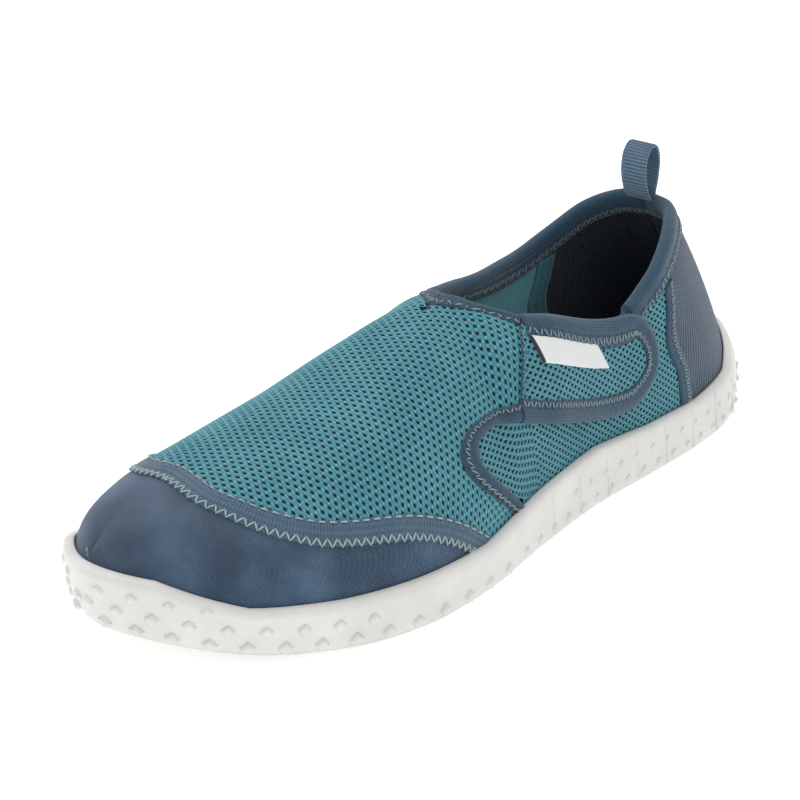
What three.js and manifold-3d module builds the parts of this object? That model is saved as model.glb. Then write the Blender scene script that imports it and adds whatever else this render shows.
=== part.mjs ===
// Slip-on water shoe for the left foot: rubber cup sole, sewn upper, side strap, heel pull tab.
// Millimetres, +Z up, toe towards -Y, outer side of the foot towards +X.
import * as THREE from 'three';
import { ParametricGeometry } from 'three/addons/geometries/ParametricGeometry.js';
import { mergeVertices } from 'three/addons/utils/BufferGeometryUtils.js';
import Module from 'manifold-3d';

// ---- driving dimensions -------------------------------------------------------------------
const SHIFT = [-0.882, 1.996, 0];      // moves the finished part so its box is centred on the origin
const SPRING = 9;                  // rise of the toe above the ground
const FEATHER = 7;                 // height of the upper's lower edge above the ground face
const INSET = 3.4;                 // wall of the sole cup at the feather line
const GAP = 0.3;                   // clearance between neighbouring pieces
const PANEL = 1.5;                 // thickness of the outer fabric and neoprene
const LINING = 0.8;                // thickness of the linings
const TAB_WIDTH = 10;              // width of the pull-tab webbing
const TAB_THICK = 1.2;
const GROOVE = [2, 1.2];           // tread groove width and depth
const GROOVES_AT = [118, 96, 74, 52, 30, -8, -30, -50];

// Stations 0 (heel) to 12 (toe) along each side of the foot: the edge of the ground face.
const EDGE_OUT = [[0, 140], [19.5, 135], [31, 117], [36, 91], [37.5, 60], [38.5, 28], [43, -5],
  [49, -38], [49.5, -67], [43.5, -94], [30.5, -118.5], [11, -133.5], [-10, -140]];
const EDGE_IN = [[0, 140], [-18, 135], [-30, 117], [-33, 90], [-31, 58], [-32, 26], [-38, -6],
  [-45, -37], [-48, -66], [-46.5, -91], [-41, -113], [-29, -131], [-10, -140]];
const FLARE_OUT = [0, 0, 0, 0, 0, 0, 0, 0, 0, 0.3, 1.5, 3, 4];
const FLARE_IN = [0, 0, 0, 0, 0, 0, 0, 0, 0, 0.8, 2, 3, 4];
const RIM = [36, 31, 19.5, 17.3, 17.8, 20.3, 18.6, 14.6, 15.2, 16.6, 19.5, 27, 29];
// Top edge of the upper: station, x, y, z. Collar up to station 6.5, ridge of the instep after.
const TOP_OUT = [[0, 0, 102.5, 81], [1, 11, 98.5, 80.5], [2, 18.5, 89.5, 77.5],
  [3, 24, 77, 70.5], [3.7, 26, 64, 61.5], [4.3, 26.3, 51, 56.5], [5, 25, 36, 58],
  [5.6, 22.5, 20, 62.5], [6, 18.5, 7, 66.3], [6.3, 9, 0, 69.2], [6.5, -4, -2.5, 70],
  [7, -4, -18, 65.5], [8, -5, -50, 56], [9, -7, -84, 49], [10, -9, -108, 44.5],
  [11, -11, -128, 39], [12, -11, -138.6, 31]];
const TOP_IN = [[0, 0, 102.5, 81], [1, -10, 99, 80.5], [2, -18.5, 90.5, 76.5],
  [3, -25, 79, 68.5], [3.7, -27.5, 66, 63], [4.3, -27, 54, 61.5], [5, -24.5, 40, 61.5],
  [5.6, -21, 23, 63.5], [6, -16, 9, 65.8], [6.3, -11, 1, 68.5], [6.5, -4, -2.5, 70],
  [7, -4, -18, 65.5], [8, -5, -50, 56], [9, -7, -84, 49], [10, -9, -108, 44.5],
  [11, -11, -128, 39], [12, -11, -138.6, 31]];
const ROUND = [2, 2, 2, 2, 2, 2, 2, 1.95, 2, 2.15, 2.3, 2.4, 2.4];
const ARCHED = [0, 0, 0, 0.1, 0.3, 0.55, 0.82, 0.97, 1, 1, 1, 1, 1];

// Seams, as [height fraction, station] up one side of the foot.
const TOE_SEAM = [[0, 6.75], [0.03, 6.85], [0.108, 7.12], [0.195, 7.48], [0.275, 7.9],
  [0.32, 8.25], [0.365, 8.7], [0.42, 9.1], [0.53, 9.5], [0.66, 9.78], [0.8, 9.97], [1, 10.03]];
const HEEL_SEAM = [[0, 3.2], [0.2, 3.22], [0.35, 3.23], [0.45, 3.31], [0.53, 3.35],
  [0.61, 3.33], [0.73, 3.2], [0.84, 3.1], [1, 3]];
const VAMP_REAR_OUT = [[0, 6.36], [0.077, 6.45], [0.15, 6.68], [0.241, 6.97], [0.323, 7.17],
  [0.387, 7.24], [0.442, 7.22], [0.485, 7.1], [0.502, 6.2], [0.52, 6.19], [0.64, 6.11],
  [0.9, 6.04], [0.912, 6.22], [0.925, 6.5], [0.945, 6.68], [0.975, 6.78], [1, 6.84]];
const VAMP_REAR_IN = [[0, 5.85], [0.9, 5.95], [0.912, 6.22], [0.925, 6.5], [0.945, 6.68],
  [0.975, 6.78], [1, 6.84]];
const QUARTER_FRONT = [[0, 5.9], [0.09, 6.14], [0.175, 6.4], [0.257, 6.65], [0.322, 6.8],
  [0.37, 6.84], [0.385, 6.8]];
const QUARTER_TOP = [[0, 0.905], [0.19, 0.905], [0.3, 0.8], [0.5, 0.76], [0.69, 0.385],
  [1, 0.385]];        // along the quarter from the heel seam forwards
// The bound lower edge of the vamp: forward side and rear side, as [station, height fraction].
const CURVE_FORE = [[6.22, 0.468], [6.46, 0.45], [6.85, 0.458], [7, 0.448], [7.1, 0.428],
  [7.15, 0.387], [7.08, 0.323], [6.88, 0.241], [6.59, 0.15], [6.36, 0.077], [6.27, 0]];
const CURVE_REAR = [[6.2, 0.403], [6.43, 0.4], [6.62, 0.407], [6.76, 0.407], [6.87, 0.4],
  [6.92, 0.37], [6.88, 0.322], [6.73, 0.257], [6.48, 0.175], [6.23, 0.09], [5.98, 0]];
// Outline of the strap from the root's upper corner round its rear end to the lower corner.
const STRAP_EDGE = [[5.96, 1], [5.6, 1], [5.2, 1], [4.8, 1], [4.4, 0.995], [4.1, 0.96],
  [3.88, 0.87], [3.74, 0.76], [3.66, 0.65], [3.68, 0.54], [3.79, 0.455], [4.05, 0.385],
  [4.39, 0.34], [4.8, 0.338], [5.23, 0.355], [5.67, 0.375], [6.12, 0.395]];

// ---- curves and the shared last ------------------------------------------------------------
function lerp(a, b, t) {
  return a + (b - a) * t;
}

function table(rows, x, key = 0, value = 1) {
  let k = 1;
  while (k < rows.length - 1 && x > rows[k][key]) k += 1;
  const [a, b] = [rows[k - 1], rows[k]];
  const t = Math.min(1, Math.max(0, (x - a[key]) / (b[key] - a[key])));
  return lerp(a[value], b[value], t);
}

function series(list, x) {
  const k = Math.min(list.length - 2, Math.floor(x));
  return lerp(list[k], list[k + 1], x - k);
}

function spline(points, at, before, after) {
  const last = points.length - 1;
  const i = Math.min(last - 1, Math.max(0, Math.floor(at)));
  const w = at - i;
  const p1 = points[i];
  const p2 = points[i + 1];
  const p0 = i > 0 ? points[i - 1] : before ?? p1.map((c, n) => 2 * c - p2[n]);
  const p3 = i + 2 <= last ? points[i + 2] : after ?? p2.map((c, n) => 2 * c - p1[n]);
  return p1.map((c, n) => {
    const v0 = (p2[n] - p0[n]) / 2;
    const v1 = (p3[n] - c) / 2;
    const cubic = 2 * c - 2 * p2[n] + v0 + v1;
    const square = -3 * c + 3 * p2[n] - 2 * v0 - v1;
    return ((cubic * w + square) * w + v0) * w + c;
  });
}

function edgePoint(p) {
  const [own, other] = p >= 0 ? [EDGE_OUT, EDGE_IN] : [EDGE_IN, EDGE_OUT];
  return spline(own, Math.abs(p), other[1], other[11]);
}

function wrap(p) {
  if (p > 12) return p - 24;
  return p < -12 ? p + 24 : p;
}

function edgeNormal(p) {
  const a = edgePoint(wrap(p - 0.001));
  const b = edgePoint(wrap(p + 0.001));
  const d = [b[0] - a[0], b[1] - a[1]];
  const length = Math.hypot(d[0], d[1]);
  return [-d[1] / length, d[0] / length];
}

function wallPoint(p, inset, flared = 1) {
  const [x, y] = edgePoint(p);
  const [nx, ny] = edgeNormal(p);
  const flare = series(p >= 0 ? FLARE_OUT : FLARE_IN, Math.abs(p)) * flared;
  return [x + nx * (flare - inset), y + ny * (flare - inset)];
}

function spring(y) {
  const t = Math.min(1, Math.max(0, ((140 - y) / 280 - 0.7) / 0.3));
  return SPRING * t * t;
}

function topPoint(p) {
  const rows = p >= 0 ? TOP_OUT : TOP_IN;
  const q = Math.abs(p);
  let k = 1;
  while (k < rows.length - 1 && q > rows[k][0]) k += 1;
  const t = k - 1 + (q - rows[k - 1][0]) / (rows[k][0] - rows[k - 1][0]);
  return spline(rows, t).slice(1);
}

// A point of the foot surface: p is the signed station (+ outer side), v the height fraction.
function lastPoint(p, v) {
  const q = Math.abs(p);
  const base = wallPoint(p, INSET);
  const foot = FEATHER + spring(edgePoint(p)[1]);
  const top = topPoint(p);
  const power = 2 / series(ROUND, q);
  const k = series(ARCHED, q);
  const angle = v * Math.PI / 2;
  const inward = lerp(v ** 1.45, 1 - Math.max(0, Math.cos(angle)) ** power, k);
  const rise = lerp(v, Math.sin(angle) ** power, k);
  return new THREE.Vector3(lerp(base[0], top[0], inward), lerp(base[1], top[1], inward),
    lerp(foot, top[2], rise));
}

function surface(p, v, off) {
  const e = 0.004;
  const side = p < 0 ? -1 : 1;
  const a = lastPoint(wrap(p - e), v);
  const b = lastPoint(wrap(p + e), v);
  const v0 = Math.max(0, v - e);
  const v1 = Math.min(1, v + e);
  const up = lastPoint(p, v1).sub(lastPoint(p, v0));
  const along = b.sub(a);
  const normal = up.cross(along).normalize();
  if (v > 0.999 && Math.abs(p) > 6.6) normal.set(0.02 * side, normal.y, Math.abs(normal.z));
  return lastPoint(p, v).addScaledVector(normal.normalize(), off);
}

// ---- solid makers ------------------------------------------------------------------------
function closed(geometry) {
  geometry.deleteAttribute('normal');
  geometry.deleteAttribute('uv');
  const welded = mergeVertices(geometry, 1e-4);
  const index = [...welded.index.array];
  const kept = [];
  for (let i = 0; i < index.length; i += 3) {
    const [a, b, c] = index.slice(i, i + 3);
    if (a !== b && b !== c && c !== a) kept.push(a, b, c);
  }
  welded.setIndex(volume(welded, kept) < 0 ? kept.reverse() : kept);
  return welded;
}

function volume(geometry, index) {
  const position = geometry.getAttribute('position');
  const corner = [0, 1, 2].map(() => new THREE.Vector3());
  let sum = 0;
  for (let i = 0; i < index.length; i += 3) {
    corner.forEach((c, k) => c.fromBufferAttribute(position, index[i + k]));
    sum += corner[0].dot(corner[1].cross(corner[2])) / 6;
  }
  return sum;
}

// A sheet with thickness: at(a, b) gives [station, height], off gives [outer, inner] offsets.
function sheet(at, rows, columns, off) {
  const around = 2 * columns + 2;
  const build = (u, t, target) => {
    const i = Math.round(u * around) % around;
    const j = Math.round(t * (rows + 2));
    const a = Math.min(1, Math.max(0, (j - 1) / rows));
    const outer = i <= columns;
    const b = (outer ? i : 2 * columns + 1 - i) / columns;
    const [p, v] = at(a, b);
    const [o0, o1] = typeof off === 'function' ? off(p, v) : off;
    const end = j === 0 || j === rows + 2;
    target.copy(surface(p, v, end ? (o0 + o1) / 2 : outer ? o0 : o1));
  };
  return closed(matchDiagonals(new ParametricGeometry(build, around, rows + 2), around));
}

// Splits the inner face's quads along the same diagonal as the outer face's, so that stacked
// sheets stay parallel.
function matchDiagonals(geometry, around) {
  const index = geometry.index;
  for (let n = 0; n < index.count / 6; n += 1) {
    if (n % around < around / 2) continue;
    const [a, b, d, , c] = [0, 1, 2, 3, 4].map((k) => index.getX(6 * n + k));
    [a, b, c, a, c, d].forEach((vertex, k) => index.setX(6 * n + k, vertex));
  }
  return geometry;
}

// A solid with the same closed section at every station from heel to toe.
function footprint(section, stations) {
  const count = section(6).length;
  const build = (u, t, target) => {
    const i = Math.round(u * count) % count;
    const q = 12 * Math.round(t * stations) / stations;
    target.set(...section(q)[i]);
  };
  return closed(new ParametricGeometry(build, count, stations));
}

function acrossPoints(left, right, z, steps) {
  const out = [];
  for (let i = 0; i <= steps; i += 1) {
    const t = i / steps;
    const y = lerp(left[1], right[1], t);
    out.push([lerp(left[0], right[0], t), y, z(y)]);
  }
  return out;
}

const lined = [-PANEL - 1.7 * GAP, -PANEL - 1.7 * GAP - LINING];
const wasm = await Module();
wasm.setup();

function solid(geometry) {
  return new wasm.Manifold(new wasm.Mesh({
    numProp: 3,
    vertProperties: new Float32Array(geometry.getAttribute('position').array),
    triVerts: new Uint32Array(geometry.index.array),
  }));
}

// Keeps the main piece of a cut and drops slivers.
function fromSolid(body) {
  const [main] = body.decompose().sort((a, b) => b.volume() - a.volume());
  const mesh = main.getMesh();
  const geometry = new THREE.BufferGeometry();
  geometry.setAttribute('position', new THREE.BufferAttribute(mesh.vertProperties, 3));
  geometry.setIndex(new THREE.BufferAttribute(mesh.triVerts, 1));
  return geometry;
}

// ---- sole unit ----------------------------------------------------------------------------
function heightAt(p, z) {
  let [low, high] = [0, 1];
  for (let i = 0; i < 30; i += 1) {
    const mid = (low + high) / 2;
    if (lastPoint(p, mid).z < z) low = mid;
    else high = mid;
  }
  return low;
}

function soleSide(p) {
  const rim = series(RIM, Math.abs(p));
  const ground = spring(edgePoint(p)[1]);
  const ring = (inset, z, flared) => [...wallPoint(p, inset, flared), z];
  const top = heightAt(p, rim);
  const inner = [1, 0.75, 0.5, 0.25, 0].map((f) => surface(p, top * f, GAP + 0.1).toArray());
  const floor = [inner[4][0], inner[4][1], ground + FEATHER - 0.6];
  // Where the rim stands high on the upper, the wall leans in with it.
  const outer = wallPoint(p, 0, 1);
  const gap = Math.hypot(inner[0][0] - outer[0], inner[0][1] - outer[1]);
  const lean = Math.max(0, gap - 3.4);
  return [ring(2.2, ground, 0), ring(0.4, ground + 2.2, 0),
    ring(0.2 + lean * 0.12, lerp(ground, rim, 0.5), 0.5),
    ring(lean * 0.4, lerp(ground, rim, 0.75), 0.8),
    ring(lean * 0.85, rim - 2.6, 1), ring(lean + 0.9, rim - 0.3, 1),
    ...inner, floor];
}

function outsoleSection(q) {
  const right = soleSide(q);
  const left = soleSide(-q);
  const n = right.length - 1;
  const floor = acrossPoints(right[n], left[n], (y) => spring(y) + FEATHER - 0.6, 4);
  const ground = acrossPoints(left[0], right[0], spring, 4);
  return [...right.slice(0, n), ...floor, ...left.slice(0, n).reverse(),
    ...ground.slice(1, 4)];
}

function outsole() {
  const cup = footprint(outsoleSection, 48);
  let body = solid(cup);
  for (const y of GROOVES_AT) {
    const box = new THREE.BoxGeometry(160, GROOVE[0], 2 * GROOVE[1]);
    box.translate(0, y, 0);
    body = body.subtract(solid(closed(box)));
  }
  return fromSolid(body);
}

function padSection(inset, low, high) {
  return (q) => {
    const right = surface(q, 0, -inset).toArray();
    const left = surface(-q, 0, -inset).toArray();
    const over = acrossPoints(right, left, (y) => spring(y) + high, 4);
    const under = acrossPoints(left, right, (y) => spring(y) + low, 4);
    return [...over, ...under];
  };
}

const insoleBoard = () => footprint(padSection(4.2, 6.8, 8.6), 36);
const sockliner = () => footprint(padSection(5.4, 8.9, 12.9), 36);

// ---- upper --------------------------------------------------------------------------------
function frontSheet(from, to, rows, heights, off, place = lerp) {
  const columns = 2 * (heights.length - 1);
  const at = (a, b) => {
    const i = Math.round(b * columns);
    const half = heights.length - 1;
    const outer = i >= half;
    const v = heights[outer ? 2 * half - i : i];
    const q = place(from(v, outer), to(v, outer), a, v);
    return [outer ? q : -q, v];
  };
  return sheet(at, rows, columns, off);
}

const toeSeam = (v) => table(TOE_SEAM, v);
const heelSeam = (v) => table(HEEL_SEAM, v);
const vampRear = (v, outer) => table(outer ? VAMP_REAR_OUT : VAMP_REAR_IN, v);
const HEIGHTS = [0, 0.1, 0.2, 0.3, 0.38, 0.44, 0.485, 0.502, 0.65, 0.8, 0.9, 0.912, 0.925,
  0.945, 0.975, 1];
const TOE_HEIGHTS = [0, 0.05, 0.12, 0.2, 0.3, 0.37, 0.45, 0.56, 0.7, 0.85, 1];

function toePanel(off = [0, -PANEL]) {
  return frontSheet((v) => toeSeam(v) + 0.03, () => 11.97, 6, HEIGHTS, off);
}

// The sole wall stands against the upper below the rim, so raised tapes stop above it.
function toeSeamTape() {
  const heights = TOE_HEIGHTS.map((h) => lerp(0.19, 1, h));
  return frontSheet((v) => toeSeam(v) - 0.13, (v) => toeSeam(v) + 0.15, 2, heights, [0.95, 0.35]);
}

// The vamp runs back along the inner side of the foot as far as the heel seam.
function innerSide(off) {
  const at = (a, b) => [-lerp(heelSeam(b * 0.9) + 0.05, 6, a), b * 0.9];
  return sheet(at, 14, 8, off);
}

function vampMesh() {
  const off = [0, -PANEL];
  const front = frontSheet(vampRear, (v) => toeSeam(v) - 0.03, 7, HEIGHTS, off);
  return fromSolid(solid(front).add(solid(innerSide(off))));
}

// One lining under the vamp and the toe, divided at the same places as both of them.
function vampLining() {
  const place = (rear, tip, a, v) => {
    const row = a * 14;
    if (row <= 7) return lerp(rear, toeSeam(v) - 0.03, row / 7);
    return lerp(toeSeam(v) + 0.03, tip, (row - 8) / 6);
  };
  const off = (p, v) => {
    const throat = Math.max(0, 1 - Math.abs(Math.abs(p) - 6.5) / 0.9) * Math.max(0, v - 0.7);
    return lined.map((depth) => depth - 6.5 * throat);
  };
  const front = frontSheet(vampRear, () => 11.93, 14, HEIGHTS, off, place);
  return fromSolid(solid(front).add(solid(innerSide(off))));
}

function aboveRim(p) {
  return heightAt(p, series(RIM, Math.abs(p)) + 0.8);
}

function seamStrip(sign, from, to, low, high, off, rows = 12) {
  const at = (a, b) => {
    const v0 = lerp(low(sign * from(0)), high, a);
    const q = lerp(from(v0), to(v0), b);
    return [sign * q, v0];
  };
  return sheet(at, rows, 2, off);
}

function heelPanel() {
  const at = (a, b) => {
    const v = lerp(0, 0.905, b);
    return [lerp(-heelSeam(v) + 0.04, heelSeam(v) - 0.04, a), v];
  };
  return sheet(at, 20, 8, [0, -PANEL]);
}

function heelCounter() {
  const at = (a, b) => [lerp(-2.9, 2.9, a), lerp(0, 0.55 - 0.2 * (2 * a - 1) ** 2, b)];
  return sheet(at, 16, 5, [-PANEL - 0.25, -PANEL - 0.7]);
}

function heelLining() {
  const at = (a, b) => {
    const v = lerp(0, 0.905, b);
    return [lerp(-heelSeam(v) + 0.04, heelSeam(v) - 0.04, a), v];
  };
  return sheet(at, 20, 6, [-PANEL - 1, -PANEL - 1.8]);
}


function quarterSheet(off) {
  const at = (a, b) => {
    const v = b * table(QUARTER_TOP, a);
    return [lerp(heelSeam(v) + 0.04, table(QUARTER_FRONT, v), a), v];
  };
  return sheet(at, 16, 8, off);
}

function ruled(first, second, off, rows, columns = 2) {
  const at = (a, b) => {
    const one = spline(first, a * (first.length - 1));
    const two = spline(second, a * (second.length - 1));
    return [lerp(one[0], two[0], b), Math.min(1, Math.max(0, lerp(one[1], two[1], b)))];
  };
  return sheet(at, rows, columns, off);
}

function vampEdgeBinding() {
  const off = (p, v) => {
    const buried = v < aboveRim(p) + 0.05;
    return [buried ? 0 : 0.9, -PANEL];
  };
  return ruled(CURVE_REAR, CURVE_FORE, off, 24);
}

function collarBinding(grow = 0) {
  const upper = [];
  const lower = [];
  for (const [p, v, w] of [[5.99, 1, 0.932], [6.12, 1, 0.937], [6.22, 1, 0.943], [6.3, 1, 0.949],
    [6.38, 1, 0.958], [6.44, 1, 0.97], [6.5, 1, 1]]) {
    upper.push([p, v]);
    lower.push(w === 1 ? [6.73, 1] : [p + Math.max(0, (p - 6.12) * 0.4), w]);
  }
  const inner = [[-6.44, 0.97], [-6.38, 0.958], [-6.3, 0.949], [-6.22, 0.943], [-6.12, 0.937],
    [-5.8, 0.93], [-5.5, 0.925], [-5.2, 0.925], [-4.9, 0.925], [-4.6, 0.92], [-4.3, 0.92], [-4, 0.92], [-3.4, 0.92], [-2.8, 0.92], [-2.2, 0.92], [-1.6, 0.92],
    [-1, 0.92], [-0.5, 0.92], [0, 0.92], [0.5, 0.92], [1, 0.92], [1.6, 0.92], [2.2, 0.92],
    [2.8, 0.92], [3.2, 0.92], [3.5, 0.92], [3.8, 0.92], [4.05, 0.925]];
  for (const [p, w] of inner) {
    upper.push([p, 1]);
    lower.push([p < -6.12 ? p + (p + 6.12) * 0.4 : p, w]);
  }
  const last = upper.length - 1;
  const at = (a, b) => {
    const k = Math.min(last, Math.round(a * last));
    const lowered = lower[k][1] - grow / 75;
    return [lerp(lower[k][0], upper[k][0], b), lerp(lowered, upper[k][1], b)];
  };
  const off = (p) => [(p > 3.4 ? -0.1 : 0.7) + grow, -3.7 - grow];
  return sheet(at, last, 2, off);
}

function heelSeamTape(sign) {
  const low = (p) => aboveRim(p);
  const from = (v) => heelSeam(v) - 0.16;
  const to = (v) => heelSeam(v) + 0.06;
  return seamStrip(sign, from, to, low, 0.9, [0.85, 0.2]);
}

function insideSeamTape() {
  const off = [-2.45 * PANEL, -2.45 * PANEL - 0.5];
  return seamStrip(-1, (v) => heelSeam(v) - 0.12, (v) => heelSeam(v) + 0.26, () => 0.2, 0.88, off);
}

// ---- strap ----------------------------------------------------------------------------------
function strapLift(p) {
  const t = Math.min(1, Math.max(0, (6.05 - p) / 0.4));
  return 1.7 * t * t * (3 - 2 * t) - 1.7;
}

function strapCentre(p) {
  return [Math.min(5.96, Math.max(4.25, p)), 0.66];
}

function strapInset(point, width) {
  const [cx, cy] = strapCentre(point[0]);
  const dx = (cx - point[0]) * 28;
  const dy = (cy - point[1]) * 75;
  const length = Math.hypot(dx, dy);
  const step = Math.min(1, width / length);
  return [lerp(point[0], cx, step), lerp(point[1], cy, step)];
}

function strapRing(width) {
  return (t) => {
    const point = spline(STRAP_EDGE, t * (STRAP_EDGE.length - 1));
    return strapInset([point[0], Math.min(1, point[1])], width);
  };
}

function strapBinding() {
  const outer = strapRing(0);
  const inner = strapRing(6.6);
  const at = (a, b) => {
    const [o, i] = [outer(a), inner(a)];
    return [lerp(i[0], o[0], b), lerp(i[1], o[1], b)];
  };
  const off = (p) => [3.4 + strapLift(p), Math.min(0.9, 0.9 + strapLift(p) + 0.4)];
  return sheet(at, 32, 2, off);
}

function strapField(width, low, high) {
  const ring = strapRing(width);
  const at = (a, b) => {
    const s = lerp(0, 0.5, 1 - a);
    const [one, two] = [ring(s), ring(1 - s)];
    return [lerp(two[0], one[0], b), lerp(two[1], one[1], b)];
  };
  return sheet(at, 14, 8, (p) => [high + strapLift(p), low + strapLift(p)]);
}

function patch(p0, p1, v0, v1, off) {
  return sheet((a, b) => [lerp(p0, p1, a), lerp(v0, v1, b)], 6, 4, off);
}

// ---- pull tab --------------------------------------------------------------------------------
function pullTab() {
  const shape = new THREE.Shape();
  const outer = [[0, 0], [-2.2, 3], [-4, 9], [-3.6, 15], [-0.8, 18.6], [2.4, 17.6], [3.8, 13],
    [3.4, 7], [2.4, 2.6], [2.2, 0]];
  const path = new THREE.CatmullRomCurve3(outer.map(([y, z]) => new THREE.Vector3(y, z, 0)));
  const count = 28;
  const ring = [];
  for (const side of [1, -1]) {
    const row = [];
    for (let i = 0; i <= count; i += 1) {
      const point = path.getPoint(i / count);
      const tangent = path.getTangent(i / count);
      row.push([point.x - tangent.y * side * TAB_THICK / 2,
        point.y + tangent.x * side * TAB_THICK / 2]);
    }
    ring.push(...(side > 0 ? row : row.reverse()));
  }
  ring.forEach(([y, z], i) => (i ? shape.lineTo(y, z) : shape.moveTo(y, z)));
  const geometry = new THREE.ExtrudeGeometry(shape, { depth: TAB_WIDTH, bevelEnabled: false });
  geometry.translate(0, 0, -TAB_WIDTH / 2);
  geometry.applyMatrix4(new THREE.Matrix4().set(0, 0, 1, 0.5, 1, 0, 0, 98, 0, 1, 0, 82.7,
    0, 0, 0, 1));
  return closed(geometry);
}

// ---- assembly ----------------------------------------------------------------------------------
const COLOURS = {
  sole: 0xf2efe8, board: 0xb9ad98, foam: 0x2b3a46, navy: 0x3e566e, teal: 0x4a9ba6,
  knit: 0x3f8f98, tape: 0x4b6780, dark: 0x20303d, plate: 0x8a8a86, label: 0xf4f4f2,
  hook: 0x2a3b4a,
};

const group = new THREE.Group();

function add(name, geometry, colour, rough = 0.85) {
  geometry.computeVertexNormals();
  geometry.translate(...SHIFT);
  const material = new THREE.MeshStandardMaterial({ color: COLOURS[colour], roughness: rough });
  material.name = colour;
  const mesh = new THREE.Mesh(geometry, material);
  mesh.name = name;
  group.add(mesh);
}

add('outsole', outsole(), 'sole', 0.6);
add('insole_board', insoleBoard(), 'board');
add('sockliner', sockliner(), 'foam');
add('toe_panel', toePanel(), 'navy');
add('toe_seam_tape', toeSeamTape(), 'tape');
add('vamp_mesh', vampMesh(), 'teal');
add('vamp_lining', vampLining(), 'knit');
add('inside_seam_tape', insideSeamTape(), 'knit');
add('quarter_mesh', quarterSheet([0, -PANEL]), 'teal');
add('quarter_lining', quarterSheet(lined), 'knit');
add('vamp_edge_binding', vampEdgeBinding(), 'tape');
add('heel_panel', heelPanel(), 'navy');
add('heel_counter', heelCounter(), 'plate');
add('heel_lining', heelLining(), 'dark');
add('heel_seam_tape_outer', heelSeamTape(1), 'tape');
add('heel_seam_tape_inner', heelSeamTape(-1), 'tape');
add('collar_binding', collarBinding(), 'tape');
add('loop_patch', patch(4.2, 5.3, 0.5, 0.74, [0.65, 0.2]), 'hook');
add('hook_patch', patch(4.25, 5.25, 0.51, 0.73, [1.4, 0.95]), 'hook');
add('strap_mesh', strapField(6.9, 1.7, 2.9), 'teal');
add('strap_binding', strapBinding(), 'tape');
add('strap_label', patch(4.72, 5.8, 0.68, 0.84, [3.7, 3.15]), 'label', 0.5);
add('pull_tab', pullTab(), 'tape');

export default group;
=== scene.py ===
import math
import bmesh
import bpy
import numpy as np
from mathutils import Matrix, Vector


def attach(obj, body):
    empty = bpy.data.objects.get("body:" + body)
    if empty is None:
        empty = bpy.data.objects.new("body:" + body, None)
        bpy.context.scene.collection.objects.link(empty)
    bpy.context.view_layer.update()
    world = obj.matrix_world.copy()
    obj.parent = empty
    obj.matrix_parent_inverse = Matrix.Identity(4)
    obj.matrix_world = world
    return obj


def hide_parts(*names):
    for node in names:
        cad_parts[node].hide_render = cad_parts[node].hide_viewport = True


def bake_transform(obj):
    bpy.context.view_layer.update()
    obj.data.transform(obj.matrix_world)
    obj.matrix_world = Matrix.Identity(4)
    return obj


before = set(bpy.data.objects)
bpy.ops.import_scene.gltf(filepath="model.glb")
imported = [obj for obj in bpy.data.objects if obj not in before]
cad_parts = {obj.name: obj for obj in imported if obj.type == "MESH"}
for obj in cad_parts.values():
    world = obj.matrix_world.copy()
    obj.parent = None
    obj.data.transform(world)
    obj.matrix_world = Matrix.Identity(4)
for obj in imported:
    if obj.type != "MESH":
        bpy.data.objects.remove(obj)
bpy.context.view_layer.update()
MM = 0.001


# --- The studio ---------------------------------------------------------------------------
# A plain white sweep of painted board under large soft lamps, as for a catalogue.
# Nothing here belongs to the shoe.


class Value:
    """A node socket on which arithmetic adds the Math nodes."""

    def __init__(self, paint, socket):
        self.paint, self.socket = paint, socket

    def _with(self, operation, *values):
        return self.paint.node("ShaderNodeMath", {"operation": operation}, values)

    def __add__(self, other):
        return self._with("ADD", self, other)

    def __radd__(self, other):
        return self._with("ADD", other, self)

    def __sub__(self, other):
        return self._with("SUBTRACT", self, other)

    def __rsub__(self, other):
        return self._with("SUBTRACT", other, self)

    def __mul__(self, other):
        return self._with("MULTIPLY", self, other)

    def __rmul__(self, other):
        return self._with("MULTIPLY", other, self)

    def __truediv__(self, other):
        return self._with("DIVIDE", self, other)

    def __abs__(self):
        return self._with("ABSOLUTE", self)

    def sine(self):
        return self._with("SINE", self)

    def fract(self):
        return self._with("FRACT", self)

    def least(self, other):
        return self._with("MINIMUM", self, other)

    def most(self, other):
        return self._with("MAXIMUM", self, other)

    def ramp(self, low, high):
        """0 below low, 1 above high, smooth between."""
        settings = {"interpolation_type": "SMOOTHSTEP"}
        return self.paint.node(
            "ShaderNodeMapRange", settings, {"Value": self, "From Min": low, "From Max": high}
        )


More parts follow.
